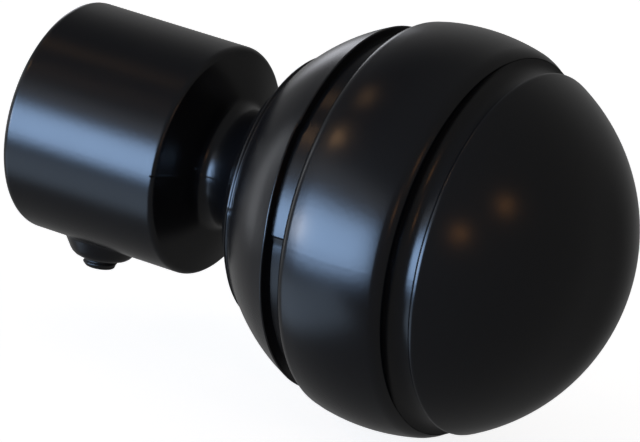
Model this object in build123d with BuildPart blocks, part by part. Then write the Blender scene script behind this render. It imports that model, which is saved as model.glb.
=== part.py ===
from build123d import *
import os
from math import sqrt

# Curtain pole finial: a moulded ball end whose collar slips over the end of the pole
# and is clamped there by one grub screw from below.
# X runs along the pole from the mouth of the socket to the tip of the ball, Z is up,
# and the origin is the centre of the mouth. All sizes are in millimetres.

# Collar and socket
COLLAR_RADIUS = 17.0
COLLAR_LENGTH = 26.1
COLLAR_REAR_ROUND = 1.2
COLLAR_FRONT_ROUND = 0.9
SOCKET_RADIUS = 14.3
SOCKET_DEPTH = 22.0
MOUTH_CHAMFER = 0.4

# Shoulder and waist between the collar and the ball
SHOULDER_RISE = 2.3
SHOULDER_RADIUS = 10.2
WAIST_RADIUS = 7.2
SHOULDER_TO_WAIST = 3.7
WAIST_TO_BEAD = 5.7
COVE_RISE = 5.4

# Bead at the root of the ball
BEAD_ROUND = 2.2
BEAD_RADIUS = 18.7

# Ball, cut by two grooves into a root band, a middle band and a dome
BALL_RADIUS = 29.3
ROOT_BAND_INSET = 0.25
MIDDLE_BAND_LENGTH = 15.95
MIDDLE_BAND_AHEAD = 1.05
REAR_GROOVE_WIDTH = 3.85
REAR_GROOVE_DEPTH = 2.42
FRONT_GROOVE_WIDTH = 3.0
FRONT_GROOVE_DEPTH = 2.83
GROOVE_WALL_LEAN = 0.2
RIM_ROUND = 0.25
BAND_FRONT_ROUND = 0.8
FRONT_GROOVE_FILLET = 0.7

# The lower half of the mould stands slightly out of line with the upper one
MISMATCH_LEAN = 0.5
MISMATCH_DEPTH = 0.15

# Boss under the collar, with the screw in it
BOSS_FROM_MOUTH = 9.3
BOSS_RADIUS = 4.7
BOSS_HEIGHT = 1.36
BOSS_BLEND = 0.8
BOSS_EDGE_ROUND = 0.4
SCREW_RADIUS = 2.5
SCREW_CLEARANCE = 0.06
SCREW_LENGTH = 6.0
SCREW_STANDS_OUT = 2.35
SCREW_CHAMFER = 0.4
SCREW_CUP_RADIUS = 1.4
SCREW_CUP_DEPTH = 0.8
HEX_ACROSS_FLATS = 2.5
HEX_DEPTH = 2.5

# Stations along the pole's axis
shoulder_x = COLLAR_LENGTH + SHOULDER_RISE
waist_x = shoulder_x + SHOULDER_TO_WAIST
bead_rear_x = waist_x + WAIST_TO_BEAD
bead_x = bead_rear_x + BEAD_ROUND
root_radius = BALL_RADIUS - ROOT_BAND_INSET
ball_x = bead_x + sqrt(root_radius**2 - BEAD_RADIUS**2)
tip_x = ball_x + BALL_RADIUS
middle_band_x = ball_x + MIDDLE_BAND_AHEAD - MIDDLE_BAND_LENGTH / 2
rear_groove_x = middle_band_x - REAR_GROOVE_WIDTH
front_groove_x = middle_band_x + MIDDLE_BAND_LENGTH
dome_x = front_groove_x + FRONT_GROOVE_WIDTH

# Levels under the pole's axis
boss_face = COLLAR_RADIUS + BOSS_HEIGHT
screw_end = boss_face + SCREW_STANDS_OUT


def ball_point(x, radius=BALL_RADIUS):
    """Point of the ball's outline at the station x."""
    return x, sqrt(radius**2 - (x - ball_x) ** 2)


def round_corner(section, point, radius):
    """Rounds the corner of a section that lies nearest to a point."""
    fillet(section.vertices().sort_by_distance(Vector(*point))[0], radius)


# Corners of the section, from the mouth of the socket to the tip
collar_front = (COLLAR_LENGTH, COLLAR_RADIUS)
shoulder = (shoulder_x, SHOULDER_RADIUS)
waist = (waist_x, WAIST_RADIUS)
cove_end = (bead_rear_x, WAIST_RADIUS + COVE_RISE)
bead_rear = (bead_rear_x, BEAD_RADIUS - BEAD_ROUND)
bead_crest = (bead_x, BEAD_RADIUS)
root_middle = ball_point((bead_x + rear_groove_x) / 2, root_radius)
root_rim = ball_point(rear_groove_x, root_radius)
band_rear = ball_point(middle_band_x)
band_middle = ball_point((middle_band_x + front_groove_x) / 2)
band_front = ball_point(front_groove_x)
rear_floor = band_rear[1] - REAR_GROOVE_DEPTH
rear_floor_start = (rear_groove_x + GROOVE_WALL_LEAN, rear_floor)
rear_floor_end = (middle_band_x, rear_floor)
front_floor = band_front[1] - FRONT_GROOVE_DEPTH
front_floor_start = (front_groove_x + GROOVE_WALL_LEAN, front_floor)
front_floor_end = (dome_x, front_floor)
dome_rim = ball_point(dome_x)
dome_middle = ball_point((dome_x + tip_x) / 2)

# The rear groove's wall and floor as the lower half of the mould shapes them
low_wall_x = rear_floor_start[0] + MISMATCH_LEAN
low_floor = rear_floor - MISMATCH_DEPTH

# Finial body: one moulding, turned about the pole's axis
with BuildPart() as finial_body:
    with BuildSketch(Plane.XY) as section:
        with BuildLine():
            Polyline((tip_x, 0), (0, 0), (0, COLLAR_RADIUS), collar_front, shoulder)
            TangentArc(waist, shoulder, tangent=(-1, 0))
            TangentArc(waist, cove_end, tangent=(1, 0))
            Line(cove_end, bead_rear)
            TangentArc(bead_rear, bead_crest, tangent=(0, 1))
            ThreePointArc(bead_crest, root_middle, root_rim)
            Polyline(root_rim, rear_floor_start, rear_floor_end, band_rear)
            ThreePointArc(band_rear, band_middle, band_front)
            Polyline(band_front, front_floor_start, front_floor_end, dome_rim)
            ThreePointArc(dome_rim, dome_middle, (tip_x, 0))
        make_face()
        round_corner(section, (0, COLLAR_RADIUS), COLLAR_REAR_ROUND)
        round_corner(section, collar_front, COLLAR_FRONT_ROUND)
        round_corner(section, root_rim, RIM_ROUND)
        round_corner(section, band_rear, RIM_ROUND)
        round_corner(section, band_front, BAND_FRONT_ROUND)
        round_corner(section, front_floor_start, FRONT_GROOVE_FILLET)
        round_corner(section, dome_rim, RIM_ROUND)
    revolve(axis=Axis.X)

    # In the lower half the groove's floor is a little deeper and its wall leans further out
    with BuildSketch(Plane.XY):
        with BuildLine():
            Polyline(
                (low_wall_x, low_floor),
                (middle_band_x, low_floor),
                (middle_band_x, rear_floor),
                (low_wall_x, rear_floor),
                close=True,
            )
        make_face()
    revolve(axis=Axis.X, revolution_arc=-180, mode=Mode.SUBTRACT)
    with BuildSketch(Plane.XY):
        with BuildLine():
            Polyline(
                (root_rim[0] - MISMATCH_LEAN, low_floor),
                (low_wall_x, low_floor),
                (root_rim[0], root_rim[1] - RIM_ROUND),
                (root_rim[0] - MISMATCH_LEAN, root_rim[1] - 2 * RIM_ROUND),
                close=True,
            )
        make_face()
    revolve(axis=Axis.X, revolution_arc=-180)

    # Boss for the screw, blended into the collar
    with BuildSketch(Plane.XY.offset(-boss_face)):
        with Locations((BOSS_FROM_MOUTH, 0)):
            Circle(BOSS_RADIUS)
    extrude(amount=boss_face)
    boss_foot = finial_body.edges(Select.NEW).filter_by(GeomType.BSPLINE)
    fillet(boss_foot, BOSS_BLEND)
    boss_centre = (BOSS_FROM_MOUTH, 0, -boss_face)
    boss_rim = finial_body.edges().filter_by(GeomType.CIRCLE).sort_by_distance(boss_centre)[0]
    fillet(boss_rim, BOSS_EDGE_ROUND)
    with BuildSketch(Plane.XY):
        with BuildLine():
            Polyline(
                (0, 0),
                (0, SOCKET_RADIUS + MOUTH_CHAMFER),
                (MOUTH_CHAMFER, SOCKET_RADIUS),
                (SOCKET_DEPTH, SOCKET_RADIUS),
                (SOCKET_DEPTH, 0),
                close=True,
            )
        make_face()
    revolve(axis=Axis.X, mode=Mode.SUBTRACT)
    with BuildSketch(Plane.XY.offset(-boss_face)):
        with Locations((BOSS_FROM_MOUTH, 0)):
            Circle(SCREW_RADIUS + SCREW_CLEARANCE)
    extrude(amount=boss_face, mode=Mode.SUBTRACT)

# Clamp screw: a grub screw with a hexagon socket and a cup point, backed off as for fitting
with BuildPart() as clamp_screw:
    with BuildSketch(Plane.XY.offset(-screw_end)):
        with Locations((BOSS_FROM_MOUTH, 0)):
            Circle(SCREW_RADIUS)
    extrude(amount=SCREW_LENGTH)
    chamfer(clamp_screw.edges().filter_by(GeomType.CIRCLE), SCREW_CHAMFER)
    with BuildSketch(Plane.XY.offset(-screw_end)):
        with Locations((BOSS_FROM_MOUTH, 0)):
            RegularPolygon(HEX_ACROSS_FLATS / 2, 6, major_radius=False)
    extrude(amount=HEX_DEPTH, mode=Mode.SUBTRACT)
    with Locations((BOSS_FROM_MOUTH, 0, SCREW_LENGTH - screw_end)):
        Cone(
            0,
            SCREW_CUP_RADIUS,
            SCREW_CUP_DEPTH,
            align=(Align.CENTER, Align.CENTER, Align.MAX),
            mode=Mode.SUBTRACT,
        )

finial_body.part.label = "finial_body"
clamp_screw.part.label = "clamp_screw"

os.makedirs("parts", exist_ok=True)
export_step(finial_body.part, "parts/finial_body.step")
export_step(clamp_screw.part, "parts/clamp_screw.step")
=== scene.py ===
import bmesh
import bpy
from math import atan2, ceil, cos, degrees, pi, radians, sin, sqrt, tan
from mathutils import Matrix, Vector


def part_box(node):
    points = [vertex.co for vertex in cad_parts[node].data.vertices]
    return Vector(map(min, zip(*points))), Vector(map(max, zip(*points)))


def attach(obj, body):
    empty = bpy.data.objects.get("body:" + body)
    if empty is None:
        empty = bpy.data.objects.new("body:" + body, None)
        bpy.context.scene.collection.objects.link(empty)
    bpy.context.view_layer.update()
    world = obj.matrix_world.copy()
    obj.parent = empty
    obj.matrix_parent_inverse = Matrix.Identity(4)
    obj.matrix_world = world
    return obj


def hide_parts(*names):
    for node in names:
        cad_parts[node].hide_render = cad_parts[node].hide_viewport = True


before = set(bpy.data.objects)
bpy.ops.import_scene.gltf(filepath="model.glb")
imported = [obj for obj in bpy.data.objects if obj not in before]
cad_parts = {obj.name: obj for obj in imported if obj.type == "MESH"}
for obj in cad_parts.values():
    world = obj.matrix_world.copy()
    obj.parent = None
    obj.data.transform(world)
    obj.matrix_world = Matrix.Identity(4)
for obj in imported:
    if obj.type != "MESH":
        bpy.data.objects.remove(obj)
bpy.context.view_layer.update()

# Lengths in this script are millimetres until a mesh is finished, and then metres
MM = 0.001

# Ends and ball, read from the frame
body_low, body_high = (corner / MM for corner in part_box("finial_body"))
screw_low, screw_high = (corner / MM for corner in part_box("clamp_screw"))
TIP_X = body_high.x
BALL_RADIUS = min(body_high.y, body_high.z)
BALL_X = TIP_X - BALL_RADIUS

# Collar, socket and boss
COLLAR_RADIUS = 17.0
COLLAR_LENGTH = 26.1
COLLAR_REAR_ROUND = 1.2
COLLAR_FRONT_ROUND = 0.9
SOCKET_RADIUS = 14.3
SOCKET_DEPTH = 22.0
MOUTH_CHAMFER = 0.4
BOSS_RADIUS = 5.6
BOSS_FACE_RADIUS = 4.1
BOSS_HEIGHT = 2.25
BOSS_BLEND = 0.5
BOSS_EDGE_ROUND = 1.9
BOSS_FLARE = 1.8
BOSS_ROOT_DEPTH = 1.2
SCREW_HOLE_RADIUS = 2.56

# Shoulder, waist and bead
SHOULDER_X = 28.3
SHOULDER_RADIUS = 10.4
WAIST_X = 30.3
WAIST_RADIUS = 8.5
BEAD_REAR_X = 37.8
COVE_RADIUS = 12.6
BEAD_REAR_RADIUS = 16.3
BEAD_CREST_X = 40.3
BEAD_CREST_RADIUS = 19.65
BEAD_CREST_ROUND = 0.3
BEAD_ROUND = 0.45
NOTCH_X = 40.85
NOTCH_RADIUS = 19.45
NOTCH_ROUND = 0.25
ROOT_BAND_X = 41.5

# Grooves and bands of the ball
ROOT_RADIUS = 29.05
REAR_GROOVE_X = 51.2
REAR_FLOOR_RADIUS = 25.65
MIDDLE_BAND_X = 54.2
FRONT_GROOVE_X = 71.255
FRONT_FLOOR_RADIUS = 25.05
DOME_X = 74.4
WALL_LEAN = 0.2
ROOT_RIM_ROUND = 0.2
BAND_REAR_ROUND = 2.0
BAND_FRONT_ROUND = 2.6
FRONT_GROOVE_FILLET = 2.4
DOME_RIM_ROUND = 0.7

# Lengths by which the ball's arcs stop short of a rim, to leave room for its round
DOME_RIM_ROOM = 1.5
BAND_FRONT_ROOM = 2.2
BAND_REAR_ROOM = 3.0
ROOT_RIM_ROOM = 2.4

# What the lower half of the mould shaped differently in the rear groove and the notch
LOW_WALL_LEAN = 0.5
LOW_FLOOR_DROP = 0.15
LOW_BEAD_FILL = 0.3

# The rear groove's rim in the upper half, set back more and more up to an angle above the
# parting plane, and chipped off from a higher one; angles in degrees
TOP_SETBACK = 0.75
TOP_FLOOR_DROP = 0.3
FULL_SETBACK_ANGLE = 30
CHIP_ANGLE = 36
SHARE_PAST_CHIP = 0.75

# Marks along the parting plane
PARTING_RIDGE = 0.04
PARTING_HALF_WIDTH = 0.13
STEP_NOTCH = 0.2
RIM_NICK = 0.18

# Fineness of the turned meshes; a point at HOLD from each round keeps the flats beside it flat
COLUMNS = 240
BOSS_COLUMNS = 96
SCREW_COLUMNS = 72
HOLE_SIDES = 64
ROWS_PER_THREAD = 10
ARC_PITCH = 1.0
ROUND_PITCH = radians(15)
HOLD = 0.12

# Angles between faces, in degrees, from which an edge is sharp
BODY_SHARP = 32
SCREW_SHARP = 50

# Screw
THREAD_PITCH = 0.8
THREAD_DEPTH = 0.2
SCREW_CHAMFER = 0.4
SCREW_END_ROUND = 0.1
SCREW_END_HOLD = 0.3
HEX_ACROSS_FLATS = 2.5
HEX_DEPTH = 2.5
CUP_RADIUS = 1.4
CUP_DEPTH = 0.8

# Patterns of the finishes
PEEL_SIZE = 0.8
PEEL_DEPTH = 0.011
DRIFT_SIZE = 9
GRAIN_SIZE = 0.5
GRAIN_DEPTH = 0.02

# Studio: the room's grey and the floor
ROOM_COLOUR = "#6c6c6c"
FLOOR_COLOUR = "#e8e8e8"
FLOOR_GLOW = 0.86
FLOOR_SIZE = 3000

# A panel of light isn't seen in directions whose dot product with its own is less than this
PANEL_REACH = 0.05


def linear(code):
    """Linear RGBA of an sRGB hex colour."""
    values = [int(code[i:i + 2], 16) / 255 for i in (1, 3, 5)]
    return [v / 12.92 if v <= 0.04045 else ((v + 0.055) / 1.055) ** 2.4 for v in values] + [1.0]


def add(tree, kind, inputs=None, **settings):
    """Adds a node with its settings; an input is a value or an output of another node."""
    made = tree.nodes.new(kind)
    for name, value in settings.items():
        setattr(made, name, value)
    for name, value in (inputs or {}).items():
        if isinstance(value, bpy.types.NodeSocket):
            tree.links.new(value, made.inputs[name])
        else:
            made.inputs[name].default_value = value
    return made


def node_tree(owner):
    """The emptied node tree of a material or world."""
    owner.use_nodes = True
    owner.node_tree.nodes.clear()
    return owner.node_tree


def ball_radius_at(x, radius=BALL_RADIUS):
    """Distance of the ball's surface from the axis at the station x."""
    return sqrt(radius**2 - (x - BALL_X) ** 2)


def arc(centre, radius, start, end, trim_start=0.0, trim_end=0.0):
    """Points of an arc between two of its points, trimmed at its ends by lengths in millimetres."""
    first = atan2(start[1] - centre[1], start[0] - centre[0])
    last = atan2(end[1] - centre[1], end[0] - centre[0])
    turn = 1 if last > first else -1
    first += turn * trim_start / radius
    last -= turn * trim_end / radius
    steps = max(ceil(abs(last - first) * radius / ARC_PITCH), ceil(abs(last - first) / ROUND_PITCH))
    angles = [first + (last - first) * i / steps for i in range(steps + 1)]
    return [(centre[0] + radius * cos(a), centre[1] + radius * sin(a), 0) for a in angles]


def rounded(outline):
    """Points of an outline whose corners (x, r, round) are rounded and held by a point each side."""
    points = [Vector(outline[0][:2])]
    for before, corner, after in zip(outline, outline[1:], outline[2:]):
        at = Vector(corner[:2])
        radius = corner[2]
        if not radius:
            points.append(at)
            continue
        back = (Vector(before[:2]) - at).normalized()
        on = (Vector(after[:2]) - at).normalized()
        half = back.angle(on) / 2
        length = radius / tan(half)
        centre = at + (back + on).normalized() * radius / sin(half)
        start = at + back * length
        end = at + on * length
        swing = pi - 2 * half
        steps = max(3, ceil(swing / ROUND_PITCH))
        side = 1 if (start - centre).cross(end - centre) > 0 else -1
        points.append(start + back * HOLD)
        for i in range(steps + 1):
            spoke = (start - centre).copy()
            spoke.rotate(Matrix.Rotation(side * swing * i / steps, 2))
            points.append(centre + spoke)
        points.append(end + on * HOLD)
    points.append(Vector(outline[-1][:2]))
    return points


def turned(bm, points, steps):
    """Spins a section (x, r) about the X axis into a closed skin."""
    ring = [bm.verts.new((x, r, 0)) for x, r in points]
    edges = [bm.edges.new(pair) for pair in zip(ring, ring[1:])]
    bmesh.ops.spin(
        bm, geom=ring + edges, axis=(1, 0, 0), cent=(0, 0, 0), angle=2 * pi, steps=steps, use_merge=True
    )
    bmesh.ops.remove_doubles(bm, verts=bm.verts, dist=1e-4)
    bmesh.ops.recalc_face_normals(bm, faces=bm.faces)


def smooth(mesh, sharp):
    """Shades a mesh smooth but for the edges from an angle on."""
    mesh.shade_smooth()
    mesh.set_sharp_from_angle(angle=radians(sharp))


def finished(bm, name, material):
    """Turns a bmesh in millimetres into an object in metres."""
    bmesh.ops.scale(bm, vec=(MM, MM, MM), verts=bm.verts)
    mesh = bpy.data.meshes.new(name)
    bm.to_mesh(mesh)
    bm.free()
    mesh.materials.append(material)
    piece = bpy.data.objects.new(name, mesh)
    bpy.context.scene.collection.objects.link(piece)
    return piece


def combine(piece, tool, operation):
    """Joins a tool to a piece or cuts it out, and deletes the tool."""
    change = piece.modifiers.new("change", "BOOLEAN")
    change.operation = operation
    change.object = tool
    change.solver = "EXACT"
    bpy.context.view_layer.update()
    changed = piece.evaluated_get(bpy.context.evaluated_depsgraph_get())
    result = bpy.data.meshes.new_from_object(changed)
    piece.modifiers.clear()
    piece.data = result
    bpy.data.objects.remove(tool)


def body_section():
    """Section of the finial from the tip of the ball over the collar to the socket's floor."""
    centre = (BALL_X, 0)
    dome_rim = (DOME_X, ball_radius_at(DOME_X))
    band_front = (FRONT_GROOVE_X, ball_radius_at(FRONT_GROOVE_X))
    band_rear = (MIDDLE_BAND_X, ball_radius_at(MIDDLE_BAND_X))
    root_rim = (REAR_GROOVE_X, ball_radius_at(REAR_GROOVE_X, ROOT_RADIUS))
    root_start = (ROOT_BAND_X, ball_radius_at(ROOT_BAND_X, ROOT_RADIUS))
    cove_end = (BEAD_REAR_X, COVE_RADIUS)
    waist = (WAIST_X, WAIST_RADIUS)
    shoulder = (SHOULDER_X, SHOULDER_RADIUS)

    def through(bottom, top):
        """Centre and radius of the arc that leaves the waist along the axis and ends at a point."""
        run = abs(top[0] - bottom[0])
        rise = top[1] - bottom[1]
        radius = (run**2 + rise**2) / (2 * rise)
        return (bottom[0], bottom[1] + radius), radius

    cove_centre, cove_radius = through(waist, cove_end)
    neck_centre, neck_radius = through(waist, shoulder)
    neck = arc(neck_centre, neck_radius, shoulder, waist)
    cove = arc(cove_centre, cove_radius, waist, cove_end)
    outline = arc(centre, BALL_RADIUS, (TIP_X, 0), dome_rim, trim_end=DOME_RIM_ROOM)
    outline += [(*dome_rim, DOME_RIM_ROUND), (DOME_X, FRONT_FLOOR_RADIUS, 0)]
    outline += [(FRONT_GROOVE_X + WALL_LEAN, FRONT_FLOOR_RADIUS, FRONT_GROOVE_FILLET)]
    outline += [(*band_front, BAND_FRONT_ROUND)]
    outline += arc(centre, BALL_RADIUS, band_front, band_rear, BAND_FRONT_ROOM, BAND_REAR_ROOM)
    outline += [(*band_rear, BAND_REAR_ROUND), (MIDDLE_BAND_X, REAR_FLOOR_RADIUS, 0)]
    outline += [(REAR_GROOVE_X + WALL_LEAN, REAR_FLOOR_RADIUS, 0), (*root_rim, ROOT_RIM_ROUND)]
    outline += arc(centre, ROOT_RADIUS, root_rim, root_start, trim_start=ROOT_RIM_ROOM)
    outline += [(NOTCH_X, NOTCH_RADIUS, NOTCH_ROUND)]
    outline += [(BEAD_CREST_X, BEAD_CREST_RADIUS, BEAD_CREST_ROUND)]
    outline += [(BEAD_REAR_X, BEAD_REAR_RADIUS, BEAD_ROUND)]
    outline += cove[::-1] + neck[::-1][1:]
    outline += [(COLLAR_LENGTH, COLLAR_RADIUS, COLLAR_FRONT_ROUND)]
    outline += [(0, COLLAR_RADIUS, COLLAR_REAR_ROUND), (0, SOCKET_RADIUS + MOUTH_CHAMFER, 0)]
    outline += [(MOUTH_CHAMFER, SOCKET_RADIUS, 0), (SOCKET_DEPTH, SOCKET_RADIUS, 0), (SOCKET_DEPTH, 0, 0)]
    return rounded(outline)


def shape_mould_halves(bm):
    """What the mould's halves shaped differently, and the rear groove's chipped rim."""
    rim_radius = ball_radius_at(REAR_GROOVE_X, ROOT_RADIUS)
    for vert in bm.verts:
        x = vert.co.x
        radius = vert.co.yz.length
        lower = vert.co.z < -0.01
        new_radius = radius
        angle = degrees(atan2(vert.co.z, abs(vert.co.y)))
        share = min(1, max(0, angle / FULL_SETBACK_ANGLE)) if angle < CHIP_ANGLE else SHARE_PAST_CHIP
        setback = TOP_SETBACK * share
        on_wall = REAR_GROOVE_X - 1 < x < REAR_GROOVE_X + WALL_LEAN + 0.01
        on_floor = x < MIDDLE_BAND_X + 0.01 and abs(radius - REAR_FLOOR_RADIUS) < 0.01
        on_notch = BEAD_CREST_X + 0.2 < x < ROOT_BAND_X - 0.1
        if on_wall and radius > REAR_FLOOR_RADIUS + 0.1:
            vert.co.x = x - setback
            new_radius = radius - rim_radius + ball_radius_at(REAR_GROOVE_X - setback, ROOT_RADIUS)
        elif on_floor and on_wall:
            vert.co.x = x + LOW_WALL_LEAN if lower else x - setback
            new_radius = radius - (LOW_FLOOR_DROP if lower else TOP_FLOOR_DROP * share)
        elif on_floor and lower:
            new_radius = radius - LOW_FLOOR_DROP
        elif on_notch and lower and radius > BEAD_REAR_RADIUS:
            new_radius = radius + LOW_BEAD_FILL
        vert.co.yz *= new_radius / max(radius, 1e-6)


def mark_parting_line(bm):
    """Marks where the mould's halves met: a faint ridge from the collar to the bead, a nick in
    the collar's rim and a notch at the step in the rear groove's floor."""
    for level in (-PARTING_HALF_WIDTH, PARTING_HALF_WIDTH):
        everything = bm.verts[:] + bm.edges[:] + bm.faces[:]
        bmesh.ops.bisect_plane(
            bm, geom=everything, plane_co=(0, 0, level), plane_no=(0, 0, 1), dist=1e-5
        )
    for vert in bm.verts:
        if abs(vert.co.z) > 1e-3:
            continue
        radius = vert.co.yz.length
        if COLLAR_LENGTH - 0.6 < vert.co.x < COLLAR_LENGTH + 0.1 and radius > COLLAR_RADIUS - 0.7:
            vert.co -= vert.normal * RIM_NICK
        elif REAR_GROOVE_X < vert.co.x < MIDDLE_BAND_X + 0.01 and radius < REAR_FLOOR_RADIUS + 0.01:
            vert.co -= vert.normal * STEP_NOTCH
        elif COLLAR_LENGTH < vert.co.x < ROOT_BAND_X and radius > WAIST_RADIUS - 1:
            vert.co += vert.normal * PARTING_RIDGE


def boss_shell(boss_x):
    """The boss as a closed shell: a low mound whose foot flares onto the collar's round wall."""
    face = COLLAR_RADIUS + BOSS_HEIGHT
    inner = COLLAR_RADIUS - BOSS_ROOT_DEPTH
    foot_radius = BOSS_RADIUS + BOSS_FLARE
    side = (BOSS_RADIUS, COLLAR_RADIUS, BOSS_BLEND)
    outline = [(0, face, 0), (BOSS_FACE_RADIUS, face, BOSS_EDGE_ROUND), side]
    # the foot's edge lies just under the collar's skin, so that the union joins them cleanly
    outline += [(foot_radius, COLLAR_RADIUS - 0.02, 0), (foot_radius, inner, 0), (0, inner, 0)]
    bm = bmesh.new()
    turned(bm, [(-level, away) for away, level in rounded(outline)], BOSS_COLUMNS)
    # the turning's axis becomes the boss's own, pointing down
    bmesh.ops.rotate(bm, verts=bm.verts, cent=(0, 0, 0), matrix=Matrix.Rotation(radians(-90), 3, "Y"))
    # towards its foot the mound follows the collar's curve
    for vert in bm.verts:
        follow = min(1, max(0, (face + vert.co.z) / BOSS_HEIGHT))
        vert.co.z += follow * (COLLAR_RADIUS - sqrt(COLLAR_RADIUS**2 - vert.co.y**2))
    bmesh.ops.translate(bm, verts=bm.verts, vec=(boss_x, 0, 0))
    bmesh.ops.recalc_face_normals(bm, faces=bm.faces)
    return bm


def column(sides, radius, height, middle):
    """An upright prism round a middle, as a tool for a cut."""
    bm = bmesh.new()
    bmesh.ops.create_cone(
        bm, cap_ends=True, segments=sides, radius1=radius, radius2=radius, depth=height,
        matrix=Matrix.Translation(middle),
    )
    return bm


def make_body(material):
    """The whole moulding: turned body with its socket, parting line, boss and screw hole."""
    boss_x = (screw_low.x + screw_high.x) / 2
    bm = bmesh.new()
    turned(bm, body_section(), COLUMNS)
    shape_mould_halves(bm)
    mark_parting_line(bm)
    body = finished(bm, "finial_moulding", material)
    combine(body, finished(boss_shell(boss_x), "boss", material), "UNION")
    hole = column(HOLE_SIDES, SCREW_HOLE_RADIUS, SOCKET_RADIUS, (boss_x, 0, -(SOCKET_RADIUS + 1)))
    combine(body, finished(hole, "hole", material), "DIFFERENCE")
    smooth(body.data, BODY_SHARP)
    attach(body, "finial")
    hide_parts("finial_body")
    return body


def make_screw(material):
    """The grub screw: hexagon socket outside, cup point inside and a thread between."""
    radius = (screw_high.x - screw_low.x) / 2
    length = screw_high.z - screw_low.z
    root = radius - SCREW_CHAMFER
    run = length - 2 * SCREW_CHAMFER
    rows = ceil(run / THREAD_PITCH * ROWS_PER_THREAD)
    outline = [(0, 0, 0), (root - SCREW_END_HOLD, 0, 0), (root, 0, SCREW_END_ROUND)]
    outline += [(radius, SCREW_CHAMFER, 0)]
    outline += [(radius, SCREW_CHAMFER + run * i / rows, 0) for i in range(1, rows + 1)]
    outline += [(root, length, SCREW_END_ROUND), (CUP_RADIUS, length, 0), (0, length - CUP_DEPTH, 0)]
    bm = bmesh.new()
    turned(bm, [(level, away) for away, level in rounded(outline)], SCREW_COLUMNS)
    bmesh.ops.rotate(bm, verts=bm.verts, cent=(0, 0, 0), matrix=Matrix.Rotation(radians(-90), 3, "Y"))
    for vert in bm.verts:
        away = vert.co.xy.length
        if away < radius - 0.01:
            continue
        turn = atan2(vert.co.y, vert.co.x) / (2 * pi)
        phase = (vert.co.z / THREAD_PITCH - turn) % 1
        # a groove with sloping flanks, and narrow flats at its floor and at the crests
        groove = THREAD_DEPTH * min(1, max(0, 1.15 - abs(phase - 0.5) * 2.6))
        vert.co.xy *= (away - groove) / away
    middle = ((screw_low.x + screw_high.x) / 2, 0, screw_low.z)
    bmesh.ops.translate(bm, verts=bm.verts, vec=middle)
    screw = finished(bm, "grub_screw", material)
    hexagon = column(6, HEX_ACROSS_FLATS / 2 / cos(radians(30)), 2 * HEX_DEPTH, middle)
    combine(screw, finished(hexagon, "hexagon", material), "DIFFERENCE")
    smooth(screw.data, SCREW_SHARP)
    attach(screw, "screw")
    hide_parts("clamp_screw")
    return screw


def black_lacquer():
    """Satin black lacquer sprayed over a plastic moulding: deep black, with softly blurred
    highlights that drift in sharpness and ripple with the spray's orange peel."""
    material = bpy.data.materials.new("satin_black_lacquer")
    tree = node_tree(material)
    place = add(tree, "ShaderNodeTexCoord").outputs["Object"]
    # sprayed lacquer lies in ripples of a little under a millimetre
    peel = add(tree, "ShaderNodeTexNoise", {
        "Vector": place,
        "Scale": 1 / (PEEL_SIZE * MM),
        "Detail": 1.5,
    })
    # and its sheen changes slowly over about a centimetre
    drift = add(tree, "ShaderNodeTexNoise", {
        "Vector": place,
        "Scale": 1 / (DRIFT_SIZE * MM),
        "Detail": 3.0,
    })
    bump = add(tree, "ShaderNodeBump", {
        "Height": peel.outputs["Fac"],
        "Strength": 0.6,
        "Distance": PEEL_DEPTH * MM,
    })
    rough = add(tree, "ShaderNodeMapRange", {"Value": drift.outputs["Fac"], "To Min": 0.2, "To Max": 0.27})
    shader = add(tree, "ShaderNodeBsdfPrincipled", {
        "Base Color": linear("#131315"),
        "Roughness": rough.outputs["Result"],
        "IOR": 1.5,
        "Normal": bump.outputs["Normal"],
    })
    add(tree, "ShaderNodeOutputMaterial", {"Surface": shader.outputs["BSDF"]})
    return material


def black_oxide():
    """Black oxide on a machined steel screw: dark, slightly brown and duller than the lacquer
    round it. The oxide covers the metal, so that it reflects as a coating does."""
    material = bpy.data.materials.new("blackened_steel")
    tree = node_tree(material)
    place = add(tree, "ShaderNodeTexCoord").outputs["Object"]
    # the oxide's grain is some hundredths of a millimetre, drawn this coarse so that it shows
    grain = add(tree, "ShaderNodeTexNoise", {
        "Vector": place,
        "Scale": 1 / (GRAIN_SIZE * MM),
        "Detail": 2.0,
    })
    bump = add(tree, "ShaderNodeBump", {
        "Height": grain.outputs["Fac"],
        "Strength": 0.4,
        "Distance": GRAIN_DEPTH * MM,
    })
    shader = add(tree, "ShaderNodeBsdfPrincipled", {
        "Base Color": linear("#151413"),
        "Roughness": 0.42,
        "Normal": bump.outputs["Normal"],
    })
    add(tree, "ShaderNodeOutputMaterial", {"Surface": shader.outputs["BSDF"]})
    return material


def direction(azimuth, elevation):
    """Unit vector of a direction: azimuth from -Y towards +X, elevation above the horizon."""
    azimuth = radians(azimuth)
    elevation = radians(elevation)
    return Vector((sin(azimuth) * cos(elevation), -cos(azimuth) * cos(elevation), sin(elevation)))


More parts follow.
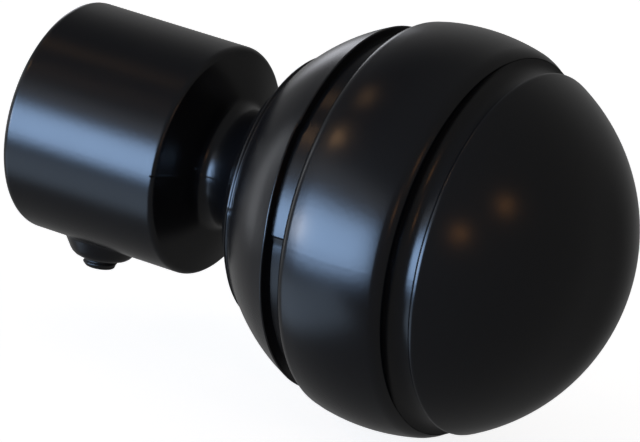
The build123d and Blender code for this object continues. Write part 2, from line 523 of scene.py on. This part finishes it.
def soft_box(tree, way, azimuth, elevation, width, height, edge, colour, strength):
    """Light of a soft-edged panel far away, as seen from the object; sizes are in degrees."""
    centre = direction(azimuth, elevation)
    right = Vector((0, 0, 1)).cross(centre).normalized()
    up = centre.cross(right)
    ahead = add(tree, "ShaderNodeVectorMath", {0: way, 1: centre}, operation="DOT_PRODUCT").outputs["Value"]
    depth = add(tree, "ShaderNodeMath", {0: ahead, 1: PANEL_REACH}, operation="MAXIMUM").outputs[0]
    light = None
    for axis, size in ((right, width), (up, height)):
        across = add(tree, "ShaderNodeVectorMath", {0: way, 1: axis}, operation="DOT_PRODUCT")
        share = add(tree, "ShaderNodeMath", {0: across.outputs["Value"], 1: depth}, operation="DIVIDE")
        offset = add(tree, "ShaderNodeMath", {0: share.outputs[0]}, operation="ABSOLUTE").outputs[0]
        fade = add(tree, "ShaderNodeMapRange", {
            "Value": offset,
            "From Min": tan(radians(size / 2 + edge / 2)),
            "From Max": tan(radians(max(size / 2 - edge / 2, 0))),
        }, interpolation_type="SMOOTHSTEP").outputs["Result"]
        light = add(tree, "ShaderNodeMath", {0: fade, 1: light or 1.0}, operation="MULTIPLY").outputs[0]
    facing = add(tree, "ShaderNodeMath", {0: ahead, 1: PANEL_REACH}, operation="GREATER_THAN").outputs[0]
    light = add(tree, "ShaderNodeMath", {0: light, 1: facing}, operation="MULTIPLY").outputs[0]
    tint = [channel * strength for channel in linear(colour)[:3]]
    return add(tree, "ShaderNodeVectorMath", {0: tint, "Scale": light}, operation="SCALE").outputs["Vector"]


def light_studio():
    """A dim grey room with one cool window to the left and small warm lamps, seen on white."""
    world = bpy.data.worlds.new("studio")
    bpy.context.scene.world = world
    tree = node_tree(world)
    way = add(tree, "ShaderNodeTexCoord").outputs["Generated"]
    room = linear(ROOM_COLOUR)
    total = add(tree, "ShaderNodeCombineXYZ", {0: room[0], 1: room[1], 2: room[2]}).outputs[0]
    # azimuth, elevation, width, height and soft edge in degrees, colour and strength
    panels = (
        # a wide cool window, the pale wall over it and its sill
        (-27, -4.5, 50, 28, 14, "#acd0ff", 12.5),
        (-30, 20, 60, 16, 14, "#f2f2f4", 0.6),
        (-46, -38, 46, 22, 12, "#bdd6f4", 1.35),
        # a small white light low in the window, and pale things to the left and behind
        (-48, -5, 7, 10, 6, "#fff4e6", 9.0),
        (-88, 0, 8, 34, 12, "#eef2f8", 1.6),
        (-135, 12, 12, 16, 10, "#f4f6ff", 2.0),
        (-100, -25, 70, 40, 40, "#f4f4f4", 0.12),
        (-151, 10, 60, 60, 50, "#f4f4f4", 0.1),
        # darker parts of the room, taken off its grey
        (-100, 55, 70, 26, 30, "#ffffff", -0.07),
        (164, -14, 40, 50, 30, "#ffffff", -0.07),
        # warm lamps in the room
        (44, 15, 5, 5, 5, "#ffb36b", 5.6),
        (72, 30, 5, 5, 5, "#ffb36b", 5.4),
        (-57, 36, 4, 3, 3, "#ffc890", 20.0),
        (-80, 52, 10, 4, 4, "#ffc890", 2.0),
    )
    for panel in panels:
        glow = soft_box(tree, way, *panel)
        total = add(tree, "ShaderNodeVectorMath", {0: total, 1: glow}, operation="ADD").outputs["Vector"]
    seen = add(tree, "ShaderNodeLightPath").outputs["Is Camera Ray"]
    light = add(tree, "ShaderNodeBackground", {"Color": total, "Strength": 1.0}).outputs[0]
    white = add(tree, "ShaderNodeBackground", {"Color": linear("#ffffff"), "Strength": 1.0}).outputs[0]
    mixed = add(tree, "ShaderNodeMixShader", {0: seen, 1: light, 2: white}).outputs[0]
    add(tree, "ShaderNodeOutputWorld", {"Surface": mixed})


def lay_floor():
    """A plain pale floor under the ball that keeps its faint shadow. Reflections look through
    it, because the photo's show the room below the object too."""
    level = Matrix.Translation((0, 0, body_low.z))
    bm = bmesh.new()
    bmesh.ops.create_grid(bm, x_segments=1, y_segments=1, size=FLOOR_SIZE, matrix=level)
    material = bpy.data.materials.new("pale_floor")
    tree = node_tree(material)
    seen = add(tree, "ShaderNodeLightPath").outputs["Is Camera Ray"]
    matt = add(tree, "ShaderNodeBsdfDiffuse", {"Color": linear(FLOOR_COLOUR)}).outputs[0]
    glow = add(tree, "ShaderNodeEmission", {"Color": linear("#ffffff"), "Strength": FLOOR_GLOW}).outputs[0]
    bright = add(tree, "ShaderNodeAddShader", {0: matt, 1: glow}).outputs[0]
    mixed = add(tree, "ShaderNodeMixShader", {0: seen, 1: matt, 2: bright}).outputs[0]
    mirrored = add(tree, "ShaderNodeLightPath").outputs["Is Glossy Ray"]
    clear = add(tree, "ShaderNodeBsdfTransparent").outputs[0]
    surface = add(tree, "ShaderNodeMixShader", {0: mirrored, 1: mixed, 2: clear}).outputs[0]
    add(tree, "ShaderNodeOutputMaterial", {"Surface": surface})
    finished(bm, "floor", material)


def set_camera():
    """The photograph's view: a long lens, in front of the finial and above it, turned towards
    the tip of the ball and rolled a little."""
    right = Vector((0.84051, 0.51716, 0.16148))
    up = Vector((-0.27219, 0.14536, 0.95120))
    back = Vector((0.46845, -0.84345, 0.26294))
    camera = bpy.data.objects.new("camera", bpy.data.cameras.new("camera"))
    camera.data.lens = 297.63
    camera.data.sensor_width = 36
    turn = Matrix((right, up, back)).transposed().to_4x4()
    camera.matrix_world = Matrix.Translation(Vector((396.927, -634.733, 194.057)) * MM) @ turn
    bpy.context.scene.collection.objects.link(camera)
    bpy.context.scene.camera = camera


make_body(black_lacquer())
make_screw(black_oxide())
light_studio()
lay_floor()
set_camera()
bpy.context.scene.view_settings.view_transform = "Standard"
